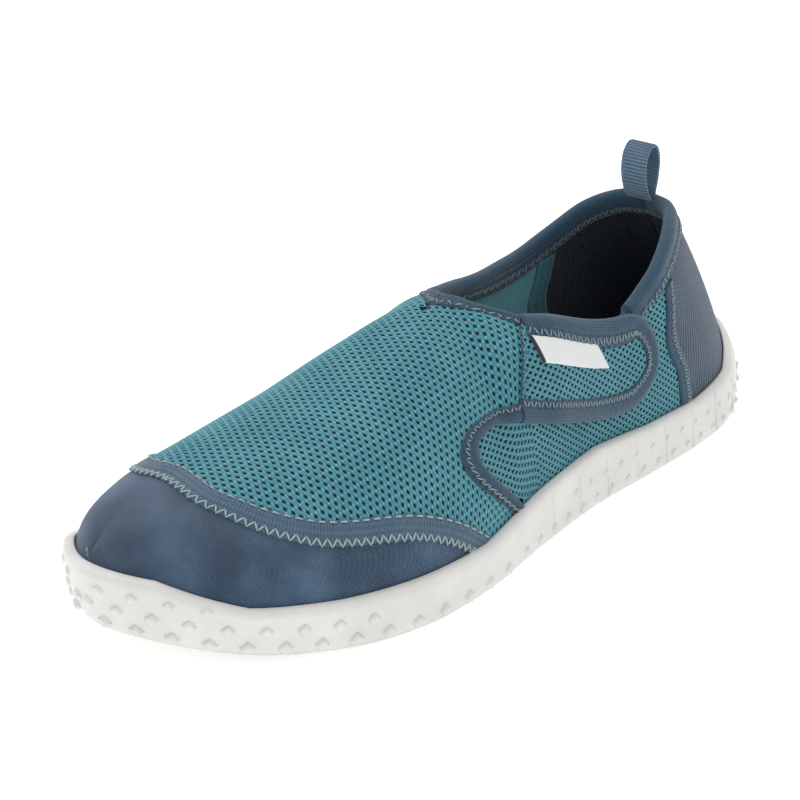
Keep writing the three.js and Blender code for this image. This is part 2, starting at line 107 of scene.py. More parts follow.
class Paint:
    """One material and the nodes that it is made of."""

    def __init__(self, name, **fixed):
        self.material = bpy.data.materials.new(name)
        self.material.use_nodes = True
        self.tree = self.material.node_tree
        self.shader = self.tree.nodes["Principled BSDF"]
        for socket, value in fixed.items():
            self.shader.inputs[socket.replace("_", " ")].default_value = value

    def node(self, kind, settings, sockets, out=0):
        made = self.tree.nodes.new(kind)
        for key, value in settings.items():
            setattr(made, key, value)
        pairs = sockets.items() if isinstance(sockets, dict) else enumerate(sockets)
        for key, value in pairs:
            if isinstance(value, Value):
                self.tree.links.new(value.socket, made.inputs[key])
            elif value is not None:
                made.inputs[key].default_value = value
        return Value(self, made.outputs[out])

    def place(self):
        return self.node("ShaderNodeTexCoord", {}, {}, "Object")

    def weave(self):
        """The cloth's own coordinates in millimetres, as two values."""
        cloth = self.node("ShaderNodeUVMap", {"uv_map": "cloth"}, {})
        return tuple(self.node("ShaderNodeSeparateXYZ", {}, [cloth], out) for out in (0, 1))

    def noise(self, scale, detail=2.0, rough=0.5):
        return self.node(
            "ShaderNodeTexNoise", {},
            {"Vector": self.place(), "Scale": scale, "Detail": detail, "Roughness": rough}
        )

    def blend(self, share, first, second):
        made = self.tree.nodes.new("ShaderNodeMix")
        made.data_type = "RGBA"
        for key, value in ((0, share), (6, first), (7, second)):
            if isinstance(value, Value):
                self.tree.links.new(value.socket, made.inputs[key])
            else:
                made.inputs[key].default_value = value
        return Value(self, made.outputs[2])

    def colour(self, value):
        self.tree.links.new(value.socket, self.shader.inputs["Base Color"])

    def roughness(self, value):
        self.tree.links.new(value.socket, self.shader.inputs["Roughness"])

    def relief(self, height, depth, strength=1.0):
        bump = self.node("ShaderNodeBump", {}, {"Height": height, "Distance": depth, "Strength": strength})
        self.tree.links.new(bump.socket, self.shader.inputs["Normal"])


def tone(red, green, blue):
    """A colour as it looks on a screen, 0 to 255, made linear."""
    return tuple(
        ((c / 255 + 0.055) / 1.055) ** 2.4 if c > 10 else c / 3294.6 for c in (red, green, blue)
    ) + (1.0,)


def solid(name, bm, material, smooth=True):
    mesh = bpy.data.meshes.new(name)
    bm.to_mesh(mesh)
    bm.free()
    for face in mesh.polygons:
        face.use_smooth = smooth
    mesh.materials.append(material)
    made = bpy.data.objects.new(name, mesh)
    bpy.context.scene.collection.objects.link(made)
    return made


sweep_paint = Paint(
    "white_board", Roughness=0.9, Specular_IOR_Level=0.1, Emission_Color=(1, 1, 1, 1),
    Emission_Strength=0.35
)
sweep_paint.colour(sweep_paint.blend(sweep_paint.noise(3.0), tone(253, 253, 253), tone(255, 255, 255)))
bm = bmesh.new()
bmesh.ops.create_grid(bm, x_segments=2, y_segments=2, size=6.0)
sweep = solid("sweep", bm, sweep_paint.material)

world = bpy.data.worlds.new("studio")
bpy.context.scene.world = world
world.use_nodes = True
world.node_tree.nodes["Background"].inputs["Color"].default_value = (1, 1, 1, 1)
world.node_tree.nodes["Background"].inputs["Strength"].default_value = 0.62
bpy.context.scene.view_settings.view_transform = "Standard"

LAMPS = (
    ("key", (-0.75, -0.25, 0.95), 0.8, 6.5), ("fill", (0.9, -0.6, 0.7), 0.9, 2.6),
    ("back", (0.1, 0.9, 0.9), 0.8, 3.2)
)
for name, spot, width, watts in LAMPS:
    lamp = bpy.data.lights.new(name, "AREA")
    lamp.size, lamp.energy = width, watts
    held = bpy.data.objects.new(name, lamp)
    bpy.context.scene.collection.objects.link(held)
    held.location = spot
    held.rotation_euler = (Vector((0, 0, 0.03)) - Vector(spot)).to_track_quat("-Z", "Y").to_euler()

AZIMUTH, ELEVATION, ROLL = math.radians(40.3), math.radians(22.6), math.radians(0.83)
TARGET = Vector((-0.88, 2.0, 40.0)) * MM
back = Vector(
    (math.sin(AZIMUTH) * math.cos(ELEVATION), -math.cos(AZIMUTH) * math.cos(ELEVATION), math.sin(ELEVATION))
)
camera = bpy.data.objects.new("camera", bpy.data.cameras.new("camera"))
bpy.context.scene.collection.objects.link(camera)
DISTANCE = 0.62
camera.location = TARGET + back * DISTANCE
right = Vector((math.cos(AZIMUTH), math.sin(AZIMUTH), 0))
above = back.cross(right)
turned = Matrix(
    (right * math.cos(ROLL) + above * math.sin(ROLL), above * math.cos(ROLL) - right * math.sin(ROLL), back)
)
camera.rotation_euler = turned.transposed().to_euler()
camera.data.lens, camera.data.sensor_width = 88.2, 36
FRAME = 800
camera.data.shift_x, camera.data.shift_y = -53.3 / FRAME, -13.4 / FRAME
camera.data.clip_start = 0.01
bpy.context.scene.camera = camera


# --- The last and the outsole -------------------------------------------------------------
# Every panel is cut to one last, a form of the foot. A place on it is a station round the
# shoe (0 the heel, 12 the toe, plus on the outer side and minus on the inner) and a height
# from the feather line, 0, to the collar or the instep ridge, 1.
# The outsole is one moulded piece of warm white rubber, a cup with studs on its side wall.
SHIFT = np.array([-0.882, 1.996, 0.0])
EDGE_OUT = np.array(
    [
        [0, 140], [19.5, 135], [31, 117], [36, 91], [37.5, 60], [38.5, 28], [43, -5], [49, -38],
        [49.5, -67], [43.5, -94], [30.5, -118.5], [11, -133.5], [-10, -140]
    ],
    float
)
EDGE_IN = np.array(
    [
        [0, 140], [-18, 135], [-30, 117], [-33, 90], [-31, 58], [-32, 26], [-38, -6], [-45, -37],
        [-48, -66], [-46.5, -91], [-41, -113], [-29, -131], [-10, -140]
    ],
    float
)
FLARE_OUT = [0] * 9 + [0.3, 1.5, 3, 4]
FLARE_IN = [0] * 9 + [0.8, 2, 3, 4]
RIM = [36, 31, 19.5, 17.3, 17.8, 20.3, 18.6, 14.6, 15.2, 16.6, 19.5, 27, 29]
RIDGE = [
    [6.5, -4, -2.5, 70], [7, -4, -18, 65.5], [8, -5, -50, 56], [9, -7, -84, 49], [10, -9, -108, 44.5],
    [11, -11, -128, 39], [12, -11, -138.6, 31]
]
TOP_OUT = np.array(
    [
        [0, 0, 102.5, 81], [1, 11, 98.5, 80.5], [2, 18.5, 89.5, 77.5], [3, 24, 77, 70.5],
        [3.7, 26, 64, 61.5], [4.3, 26.3, 51, 56.5], [5, 25, 36, 58], [5.6, 22.5, 20, 62.5],
        [6, 18.5, 7, 66.3], [6.3, 9, 0, 69.2]
    ] + RIDGE,
    float
)
TOP_IN = np.array(
    [
        [0, 0, 102.5, 81], [1, -10, 99, 80.5], [2, -18.5, 90.5, 76.5], [3, -25, 79, 68.5],
        [3.7, -27.5, 66, 63], [4.3, -27, 54, 61.5], [5, -24.5, 40, 61.5], [5.6, -21, 23, 63.5],
        [6, -16, 9, 65.8], [6.3, -11, 1, 68.5]
    ] + RIDGE,
    float
)
ROUND = [2, 2, 2, 2, 2, 2, 2, 1.95, 2, 2.15, 2.3, 2.4, 2.4]
ARCHED = [0, 0, 0, 0.1, 0.3, 0.55, 0.82, 0.97, 1, 1, 1, 1, 1]
STATIONS = np.arange(13)


def through(rows, t, before=None, after=None):
    """A smooth curve through rows; t counts rows."""
    rows = np.asarray(rows, float)
    before = 2 * rows[0] - rows[1] if before is None else before
    after = 2 * rows[-1] - rows[-2] if after is None else after
    rows_with_ends = np.vstack([before, rows, after])
    t = np.clip(t, 0, len(rows) - 1)
    k = np.minimum(np.floor(t).astype(int), len(rows) - 2)
    w = (t - k)[..., None]
    a, b, c, d = (rows_with_ends[k + n] for n in range(4))
    return b + w * (c - a) / 2 + w**2 * (a - 2.5 * b + 2 * c - d / 2) + w**3 * (1.5 * (b - c) + (d - a) / 2)


def sided(p, outer, inner):
    return np.where((p >= 0).reshape(p.shape + (1,) * (outer.ndim - p.ndim)), outer, inner)


def edge(p):
    p = np.where(p > 12, p - 24, np.where(p < -12, p + 24, p))
    q = np.abs(p)
    outer = through(EDGE_OUT, q, EDGE_IN[1], EDGE_IN[11])
    inner = through(EDGE_IN, q, EDGE_OUT[1], EDGE_OUT[11])
    return sided(p, outer, inner)


def wall(p, inset, flared=1.0):
    """A point of the sole's outline, moved in by inset."""
    q = np.abs(p)
    along = edge(p + 0.001) - edge(p - 0.001)
    along /= np.linalg.norm(along, axis=-1, keepdims=True)
    outward = np.stack([-along[..., 1], along[..., 0]], -1)
    flare = np.where(p >= 0, np.interp(q, STATIONS, FLARE_OUT), np.interp(q, STATIONS, FLARE_IN))
    return edge(p) + outward * (flare * flared - inset)[..., None]


def toe_spring(y):
    return 9 * np.clip(((140 - y) / 280 - 0.7) / 0.3, 0, 1) ** 2


def collar(p):
    """The last's upper edge, or the ridge over the instep and toes."""
    q = np.abs(p)
    outer = through(TOP_OUT[:, 1:], np.interp(q, TOP_OUT[:, 0], np.arange(len(TOP_OUT))))
    inner = through(TOP_IN[:, 1:], np.interp(q, TOP_IN[:, 0], np.arange(len(TOP_IN))))
    return sided(p, outer, inner)


def form(p, v):
    q, v = np.abs(p), np.clip(v, 0, 1)
    foot, top = wall(p, 3.4), collar(p)
    power, arched = 2 / np.interp(q, STATIONS, ROUND), np.interp(q, STATIONS, ARCHED)
    cos, sin = np.clip(np.cos(v * np.pi / 2), 0, 1), np.sin(v * np.pi / 2)
    inward = (1 - arched) * v**1.45 + arched * (1 - cos**power)
    rise = (1 - arched) * v + arched * sin**power
    low = 7 + toe_spring(edge(p)[..., 1])
    xy = foot + (top[..., :2] - foot) * inward[..., None]
    return np.concatenate([xy, (low + (top[..., 2] - low) * rise)[..., None]], -1)


def on_last(p, v, off=0.0):
    """The place at station p and height v, off millimetres out from the last, in metres."""
    p, v = np.broadcast_arrays(np.asarray(p, float), np.asarray(v, float))
    held, step = np.clip(v, 0, 1), 0.004
    low, high = np.clip(held - step, 0, 1), np.clip(held + step, 0, 1)
    up = (form(p, high) - form(p, low)) / (high - low)[..., None]
    along = form(p + step, held) - form(p - step, held)
    normal = np.cross(up, along)
    crest = (v > 0.999) & (np.abs(p) > 6.6)
    normal[..., 0] = np.where(crest, 0, normal[..., 0])
    normal[..., 2] = np.where(crest, np.abs(normal[..., 2]), normal[..., 2])
    normal /= np.linalg.norm(normal, axis=-1, keepdims=True) + 1e-12
    beyond = (v - held)[..., None] * up
    return (form(p, held) + beyond + normal * np.asarray(off, float)[..., None] + SHIFT) * MM


def lay(across, along, place, cloth=None):
    """A grid of that many steps whose corners go to place(s, t); s and t run from 0 to 1."""
    bm = bmesh.new()
    bmesh.ops.create_grid(bm, x_segments=across, y_segments=along, size=1.0)
    flat = np.array([v.co for v in bm.verts])
    s, t = (flat[:, 0] + 1) / 2, (flat[:, 1] + 1) / 2
    layer = bm.loops.layers.uv.new("cloth")
    at = cloth(s, t) if cloth else np.stack([s, t], -1)
    for vert, uv, spot in zip(bm.verts, at, place(s, t)):
        vert.co = spot
        for loop in vert.link_loops:
            loop[layer].uv = uv
    bmesh.ops.remove_doubles(bm, verts=bm.verts, dist=0.00001)
    bmesh.ops.recalc_face_normals(bm, faces=bm.faces)
    return bm


rubber = Paint(
    "white_rubber", Roughness=0.42, Specular_IOR_Level=0.45, Subsurface_Weight=0.08,
    Subsurface_Radius=(0.003, 0.003, 0.0025), Subsurface_Scale=1.0
)
scuff = rubber.noise(55.0, 4.0, 0.6)
rubber.colour(rubber.blend(scuff.ramp(0.35, 0.75), tone(214, 212, 208), tone(222, 221, 218)))
rubber.roughness(0.34 + 0.2 * scuff)
rubber.relief(rubber.noise(420.0, 3.0), 0.00012, 0.5)


def rim_height(p):
    return np.interp(np.abs(p), STATIONS, RIM)


def at_rim(p):
    """How high on the last the rim meets the cloth."""
    heights = np.linspace(0, 0.8, 161)
    rise = form(p[:, None] + 0 * heights, heights + 0 * p[:, None])[..., 2]
    return np.array([np.interp(high, row, heights) for high, row in zip(rim_height(p), rise)])


def wall_lean(p):
    """How far the wall leans in with the cloth where the rim stands high on it."""
    meets = on_last(p, at_rim(p), 0.4)[..., :2] / MM - SHIFT[:2]
    return np.maximum(0, np.linalg.norm(meets - wall(p, 0 * p), axis=-1) - 3.4)


# The wall's section from the ground up over the rim: inset, lift, share of height and of lean.
WALL = [
    (9.0, 0.0, 0, 0), (2.6, 0.0, 0, 0), (1.1, 0.5, 0, 0), (0.4, 2.2, 0, 0), (0.25, 0, 0.25, 0),
    (0.2, 0, 0.4, 0.06), (0.1, 0, 0.55, 0.15), (0.0, 0, 0.7, 0.32), (0.0, 0, 0.82, 0.55),
    (0.0, -2.2, 1, 0.87), (0.3, -0.9, 1, 0.96), (0.8, -0.3, 1, 1)
]
INSIDE = [(1.0, 0.9, 0.0), (1.0, 0.4, -0.1), (0.6, 0.3, 0.0), (0.0, 0.3, 0.0)]


def outsole_wall(s, t):
    p = -12 + 24 * s
    row = np.rint(t * (len(WALL) + len(INSIDE) - 1)).astype(int)
    inset, lift, share, leaning = np.array(WALL + [(0, 0, 0, 0)] * len(INSIDE))[row].T
    inset = inset + leaning * wall_lean(p)
    ground = toe_spring(edge(p)[..., 1])
    xy = wall(p, inset, np.clip(share, 0, 1)) + SHIFT[:2]
    spot = np.concatenate([xy, (ground + lift + share * (rim_height(p) - ground))[:, None]], -1) * MM
    deep = row >= len(WALL)
    height, off, drop = np.array([(0, 0, 0)] * len(WALL) + INSIDE)[row[deep]].T
    spot[deep] = on_last(p[deep], at_rim(p[deep]) * height, off)
    spot[deep, 2] += drop * MM
    return spot


bm = lay(480, len(WALL) + len(INSIDE) - 1, outsole_wall)
bmesh.ops.holes_fill(bm, edges=[e for e in bm.edges if e.is_boundary])
bmesh.ops.recalc_face_normals(bm, faces=bm.faces)
outsole = solid("outsole_cup", bm, rubber.material)
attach(outsole, "shoe")
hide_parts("outsole")


def on_wall(p, high):
    """A place on the side wall and its own axes: along, up and outward."""
    def at(p, high):
        p, high = np.array([float(p)]), np.array([float(high)])
        ground = toe_spring(edge(p)[..., 1])
        share = high / (rim_height(p) - ground)
        xy = wall(p, 0.3 + np.interp(share, [0.4, 0.7, 1], [0, 0.32, 1]) * wall_lean(p), share)
        return np.append(xy[0] + SHIFT[:2], ground + high) * MM

    spot = at(p, high)
    along = at(p + 0.01, high) - at(p - 0.01, high)
    up = at(p, high + 0.1) - at(p, high - 0.1)
    out = np.cross(up, along)
    axes = [a / np.linalg.norm(a) for a in (along, np.cross(out, along), out)]
    return Matrix([[*(a[n] for a in axes), spot[n]] for n in range(3)] + [[0, 0, 0, 1]])


outline = np.linspace(-12, 12, 2401)
run = np.concatenate(
    [[0], np.cumsum(np.linalg.norm(np.diff(wall(outline, 0.3 + 0 * outline), axis=0), axis=1))]
)
# Each row of studs: how high up, how far apart, first offset, half width, height and stations.
STUDS = [
    (3.3, 10.6, 0.0, 2.7, 1.6, (6.4, 12)), (8.6, 10.6, 5.3, 2.6, 1.6, (8.6, 12)),
    (13.9, 10.6, 0.0, 2.4, 1.6, (10.1, 12)), (4.2, 9.0, 2.0, 1.9, 1.1, (0, 6.4)),
    (11.0, 9.0, 6.5, 1.9, 1.1, (0, 5.6))
]
bm = bmesh.new()
for high, pitch, first, half, tall, (low_q, high_q) in STUDS:
    for spot in np.arange(first, run[-1], pitch):
        p = float(np.interp(spot, run, outline))
        if low_q <= abs(p) < high_q:
            turn = on_wall(p, high) @ Matrix.Translation((0, 0, 0.35 * MM))
            turn = turn @ Matrix.Rotation(0.08 * math.sin(spot), 4, "Z")
            bmesh.ops.create_cone(
                bm, cap_ends=True, segments=4, radius1=half * MM, radius2=half * 0.58 * MM,
                depth=tall * MM, matrix=turn
            )
RIB_PITCH, RIB_SIZE = 17.0, (0.55, 15.0, 0.9, 1)
for spot in np.arange(4.0, run[-1], RIB_PITCH):
    p = float(np.interp(spot, run, outline))
    if 0.4 < abs(p) < 5.9:
        lean = Matrix.Rotation(0.22 if p > 0 else -0.22, 4, "Z") @ Matrix.Diagonal(RIB_SIZE)
        bmesh.ops.create_cube(bm, size=MM, matrix=on_wall(p, 9.0) @ lean)
bmesh.ops.bevel(bm, geom=bm.edges[:], offset=0.22 * MM, affect="EDGES", segments=1, profile=0.5, material=-1)
studs = solid("outsole_studs", bm, rubber.material)
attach(studs, "shoe")


# --- The insole board and the sockliner ---------------------------------------------------
# A stiff board closes the upper below, and a dark knit-faced foam sockliner lies on it.
# Both are cut to the last's bottom and cemented in the cup.
board = Paint("pressed_board", Roughness=0.85)
board.colour(board.blend(board.noise(300.0, 5.0), tone(150, 140, 122), tone(180, 170, 150)))
board.relief(board.noise(900.0), 0.0001)

foam = Paint("sockliner_foam", Roughness=0.92, Specular_IOR_Level=0.2, Sheen_Weight=0.2)
grain = foam.noise(700.0, 4.0)
foam.colour(foam.blend(grain, tone(24, 33, 44), tone(40, 52, 66)))
foam.relief(grain, 0.0002)


def sockliner_top(s, t):
    q = 6 - 6 * np.cos(np.pi * s)
    outer, inner = wall(q, 5.4), wall(-q, 5.4)
    x, y = (outer + (inner - outer) * t[:, None]).T
    from_edge = 20 * np.minimum(np.minimum(t, 1 - t), np.minimum(s, 1 - s))
    z = toe_spring(y) + 13.2 - 1.6 * np.exp(-2 * from_edge)
    return np.stack([x + SHIFT[0], y + SHIFT[1], z], -1) * MM


bm = lay(160, 40, sockliner_top)
skirt = bmesh.ops.extrude_edge_only(bm, edges=[e for e in bm.edges if e.is_boundary])["geom"]
for vert in (g for g in skirt if isinstance(g, bmesh.types.BMVert)):
    vert.co.z -= 0.0024
bmesh.ops.recalc_face_normals(bm, faces=bm.faces)
sockliner = solid("sockliner_pad", bm, foam.material)
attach(sockliner, "shoe")
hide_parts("sockliner")


def dress(node, paint):
    """Gives a carried node its finish."""
    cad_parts[node].data.materials.clear()
    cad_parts[node].data.materials.append(paint.material)


dress("insole_board", board)


# --- The toe panel ------------------------------------------------------------------------
# Neoprene faced with a fine slate-navy jersey, stretched over the toes and lasted under
# the board. It shows a fine twill of knit ribs.
TOE_SEAM = [
    [0, 6.75], [0.03, 6.85], [0.108, 7.12], [0.195, 7.48], [0.275, 7.9], [0.32, 8.25], [0.365, 8.7],
    [0.42, 9.1], [0.53, 9.5], [0.66, 9.78], [0.8, 9.97], [1, 10.03]
]
RIB = 1.05


def along_seam(seam, v):
    return np.interp(v, *np.array(seam, float).T)


def neoprene(name, dark, light, rib, turn=0.0):
    paint = Paint(name, Roughness=0.78, Specular_IOR_Level=0.25, Sheen_Weight=0.25, Sheen_Roughness=0.5)
    u, v = paint.weave()
    wale = 0.5 + 0.5 * ((u * math.cos(turn) + v * math.sin(turn)) * (math.tau / rib)).sine()
    course = 0.5 + 0.5 * ((v * math.cos(turn) - u * math.sin(turn)) * (math.tau / rib * 1.15)).sine()
    knit = wale * (0.55 + 0.45 * course)
    worn = paint.noise(38.0, 4.0, 0.6)
    shade = 0.55 * knit + 0.6 * worn.ramp(0.3, 0.75) + 0.25 * paint.noise(1500.0, 2.0) - 0.2
    paint.colour(paint.blend(shade, dark, light))
    paint.roughness(0.7 + 0.15 * worn)
    paint.relief(knit + 0.4 * paint.noise(2400.0, 2.0), 0.00022, 0.8)
    return paint


navy = neoprene("navy_jersey", tone(38, 58, 80), tone(92, 120, 148), RIB, 0.5)


def cut_sheet(name, place, size, steps, paint):
    """Cloth laid as place(s, t) says; size is its width and length in millimetres."""
    bm = lay(*steps, place, lambda s, t: np.stack([s * size[0], t * size[1]], -1))
    made = solid(name, bm, paint.material)
    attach(made, "shoe")
    return made


def toe_place(s, t):
    v = 1 - t
    seam = along_seam(TOE_SEAM, v)
    p = seam + (24 - 2 * seam) * s
    p = np.where(p > 12, p - 24, p)
    return on_last(p, v, -0.15)


toe_panel = cut_sheet("toe_panel_jersey", toe_place, (250, 75), (200, 48), navy)
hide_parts("toe_panel")


# --- The vamp net -------------------------------------------------------------------------
# One piece of teal spacer mesh over the instep and all along the inner side, knitted with
# staggered holes between twisted yarns, and a plain teal knit lining behind it. The holes'
# floors cover that lining and are painted dark as painted shade, and the yarns between the
# holes carry a painted highlight.
HEEL_SEAM = [
    [0, 3.2], [0.2, 3.22], [0.35, 3.23], [0.45, 3.31], [0.53, 3.35], [0.61, 3.33], [0.73, 3.2],
    [0.84, 3.1], [1, 3]
]
VAMP_REAR = [
    [6.12, -0.05], [6.12, 0], [6.3, 0.12], [6.6, 0.2], [6.86, 0.29], [7.02, 0.38], [6.95, 0.425],
    [6.5, 0.43], [6.1, 0.44], [6.02, 0.5], [5.98, 0.64], [5.92, 0.9], [6.05, 0.975], [6.8, 0.975],
    [6.95, 1.2]
]
THROAT = -2.5


def unrolled(side):
    """How far across the foot each place lies, on lines square to the shoe: tables for flat cloth."""
    heights, stations = np.linspace(0, 1, 61), np.linspace(2.4, 12, 240)
    q, v = np.meshgrid(stations, heights)
    spots = form(side * q, v)
    rows = np.arange(-135.0, 101.0, 1.0)
    found_q = np.stack([np.interp(rows, line[::-1, 1], stations[::-1]) for line in spots], 1)
    points = form(side * found_q, np.broadcast_to(heights, found_q.shape))
    steps = np.linalg.norm(np.diff(points, axis=1), axis=2)
    girth = np.concatenate([np.zeros((len(rows), 1)), np.cumsum(steps, 1)], 1)
    whole = girth[:, -1]
    crest = np.where(rows > THROAT, np.interp(THROAT, rows, whole), whole)
    across = np.arange(-30.0, 140.0, 1.0)
    table = np.zeros((len(rows), len(across), 2))
    for n in range(len(rows)):
        climb = crest[n] - across
        height = np.interp(climb, girth[n], heights)
        height = np.where(
            climb < 0, climb / 60, np.where(climb > whole[n], 1 + (climb - whole[n]) / 60, height)
        )
        table[n, :, 0] = np.interp(height, heights, found_q[n])
        table[n, :, 1] = height
    return rows[0], across[0], table


UNROLLED = {1: unrolled(1), -1: unrolled(-1)}


def from_flat(a, b, side):
    """Station and height of the flat cloth's place a along the shoe, b down from the ridge."""
    first_row, first_across, table = UNROLLED[side]
    i, j = a - first_row, b - first_across
    i, j = np.clip(i, 0, table.shape[0] - 1.001), np.clip(j, 0, table.shape[1] - 1.001)
    n, m = i.astype(int), j.astype(int)
    fi, fj = (i - n)[..., None], (j - m)[..., None]
    first = table[n, m] * (1 - fj) + table[n, m + 1] * fj
    last = table[n + 1, m] * (1 - fj) + table[n + 1, m + 1] * fj
    found = first * (1 - fi) + last * fi
    return found[..., 0] * side, found[..., 1]


HOLE_DEPTH, KNOT_RISE = 0.4, 0.22


def net(pitch, span, origin, kept, lift, inset, sides=(1,), cuts=()):
    """Holed cloth: a lattice of diamonds, each inset and pushed in, laid on the last."""
    bm = bmesh.new()
    count = int(sum(span[n] / pitch[n] for n in (0, 1))) + 2
    bmesh.ops.create_grid(bm, x_segments=count, y_segments=count, size=count / 2)
    layer = bm.loops.layers.uv.new("cloth")
    for face in bm.faces:
        for loop in face.loops:
            loop[layer].uv = (loop.vert.co.x, loop.vert.co.y)
    quarter_turn = Matrix(
        (
            (pitch[0] / 2, pitch[0] / 2, 0, origin[0]), (pitch[1] / 2, -pitch[1] / 2, 0, origin[1]),
            (0, 0, 1, 0), (0, 0, 0, 1)
        )
    )
    bmesh.ops.transform(bm, matrix=quarter_turn, verts=bm.verts)
    middles = np.array([f.calc_center_median() for f in bm.faces])
    keep = np.zeros(len(middles), bool)
    for side in sides:
        mine = middles[:, 1] * side >= 0 if len(sides) > 1 else np.ones(len(middles), bool)
        p, v = from_flat(middles[:, 0], middles[:, 1] * (side if len(sides) > 1 else 1), side)
        keep |= mine & kept(p, v)
    bm.faces.ensure_lookup_table()
    bmesh.ops.delete(bm, geom=[f for f, k in zip(bm.faces[:], keep) if not k], context="FACES")
    for spot, away in cuts:
        bmesh.ops.bisect_plane(
            bm, geom=bm.faces[:] + bm.edges[:] + bm.verts[:], plane_co=spot, plane_no=away,
            clear_outer=True
        )
    whole = [f for f in bm.faces if len(f.verts) == 4]
    bmesh.ops.inset_individual(bm, faces=whole, thickness=inset, use_even_offset=True)
    corners = list({v for f in whole for v in f.verts})
    knots = {v for v in bm.verts} - set(corners)
    for vert in knots:
        vert.co.z += KNOT_RISE
    bmesh.ops.bevel(
        bm, geom=corners, offset=inset * 0.62, affect="VERTICES", segments=1, profile=0.5, material=-1
    )
    holes = [f for f in bm.faces if len(f.verts) == 8]
    # The depth mark picks out the hole floors, which the spacer paint colours dark as painted shade in the
    # pits.
    depth = bm.verts.layers.float.new("depth")
    sunk = bmesh.ops.extrude_discrete_faces(bm, faces=holes)["faces"]
    for face in sunk:
        for vert in face.verts:
            vert.co.z = -HOLE_DEPTH
            vert[depth] = 1.0
    flat = np.array([v.co for v in bm.verts])
    spots = np.zeros_like(flat)
    for side in sides:
        mine = flat[:, 1] * side >= 0 if len(sides) > 1 else np.ones(len(flat), bool)
        p, v = from_flat(flat[mine, 0], flat[mine, 1] * (side if len(sides) > 1 else 1), side)
        spots[mine] = on_last(p, v, flat[mine, 2] + lift(p))
    for vert, spot in zip(bm.verts, spots):
        vert.co = spot
    bmesh.ops.recalc_face_normals(bm, faces=bm.faces)
    return bm


def spacer(name, dark, base, light):
    paint = Paint(name, Roughness=0.62, Specular_IOR_Level=0.3, Sheen_Weight=0.15)
    u, v = paint.weave()
    # dark is painted shade: the hole floors, picked out by depth, take it where the lighter knit lining
    # would show in shadow.
    deep = paint.node("ShaderNodeAttribute", {"attribute_name": "depth"}, {}, 2)
    near_u, near_v = abs(u.fract() - 0.5) * 2, abs(v.fract() - 0.5) * 2
    yarn = near_u.ramp(0.55, 1.0).most(near_v.ramp(0.55, 1.0))
    twist = 0.5 + 0.5 * ((u + v) * (math.tau * 2.5)).sine()
    loops = 0.5 + 0.5 * ((u - v) * (math.tau * 1.5)).sine()
    # lit is a painted highlight on the yarns between the holes, brightest along each twist and loop, blended
    # towards the light colour.
    lit = yarn * (0.35 + 0.65 * twist) * (0.5 + 0.5 * loops)
    patch = paint.noise(60.0, 3.0)
    cloth = paint.blend(lit + 0.4 * patch - 0.15, base, light)
    paint.colour(paint.blend(deep.ramp(0.12, 0.75), cloth, dark))
    paint.relief(yarn * (0.4 + 0.6 * twist), 0.0003, 0.9)
    return paint


# For each net the first colour is the painted shade in the holes and the last the painted highlight on the
# yarns.
teal = spacer("teal_spacer", tone(7, 48, 60), tone(56, 130, 145), tone(140, 206, 216))


def inside(q, v, outline):
    """True where the place lies within the outline, a closed line of stations and heights."""
    found = np.zeros(q.shape, bool)
    for (q1, v1), (q2, v2) in zip(outline, list(outline[1:]) + [outline[0]]):
        crosses = (v1 > v) != (v2 > v)
        found ^= crosses & (q < q1 + (v - v1) * (q2 - q1) / (v2 - v1 if v2 != v1 else 1))
    return found


TOE_EDGE = [[10.06, 1.2]] + [[q + 0.03, v] for v, q in TOE_SEAM[::-1]] + [[6.78, -0.05]]


def vamp_kept(p, v):
    q = np.abs(p)
    v = np.where(q > 10.6, -1, v)
    inner = (q > along_seam(HEEL_SEAM, v) + 0.04) & (q < along_seam(TOE_SEAM, v) + 0.03) & (v > -0.03)
    return np.where(p >= 0, inside(q, v, VAMP_REAR + TOE_EDGE), inner & (v < np.where(q > 6.9, 1.2, 0.975)))


bm = net((2.45, 4.24), (230, 270), (-20, 0), vamp_kept, lambda p: 0 * p, 0.5, sides=(1, -1))
vamp = solid("vamp_spacer_net", bm, teal.material)
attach(vamp, "shoe")
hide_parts("vamp_mesh")


def lining_paint(name, dark, light):
    paint = Paint(name, Roughness=0.88, Specular_IOR_Level=0.2, Sheen_Weight=0.15)
    u, v = paint.weave()
    loops = (0.5 + 0.5 * (u * (math.tau / 1.3)).sine()) * (0.5 + 0.5 * (v * (math.tau / 1.1)).sine())
    paint.colour(paint.blend(0.7 * loops + 0.4 * paint.noise(60.0, 3.0), dark, light))
    paint.relief(loops, 0.0003)
    return paint


knit = lining_paint("teal_knit", tone(84, 146, 158), tone(132, 196, 206))


def front_lining(s, t):
    p = 6.05 + s * (24 - 6.05 - 3.2)
    p = np.where(p > 12, p - 24, p)
    raised = 0.85 * np.clip((np.abs(p) - 10.2) / 0.8, 0, 1)
    v = (raised + t * (1 - raised)) * np.where(np.abs(p) > 6.5, 1.0, 0.975)
    return on_last(p, v, -2.2)


lining = cut_sheet("vamp_lining_knit", front_lining, (330, 80), (170, 40), knit)
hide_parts("vamp_lining")


# --- The toe seam -------------------------------------------------------------------------
# A navy woven tape covers the join of net and toe panel, held by a row of run stitches at
# the net and a zigzag cover stitch at the toe, in pale grey-green thread.
def even(points, count):
    """count places evenly apart on a smooth line through points, stations and heights."""
    dense = through(points, np.linspace(0, len(points) - 1, 16 * len(points)))
    spots = on_last(dense[:, 0], dense[:, 1])
    run = np.concatenate([[0], np.cumsum(np.linalg.norm(np.diff(spots, axis=0), axis=1))])
    at = np.linspace(0, run[-1], count)
    return np.stack([np.interp(at, run, dense[:, 0]), np.interp(at, run, dense[:, 1])], -1)


def length_of(line):
    return float(np.linalg.norm(np.diff(on_last(line[:, 0], line[:, 1]), axis=0), axis=1).sum()) / MM


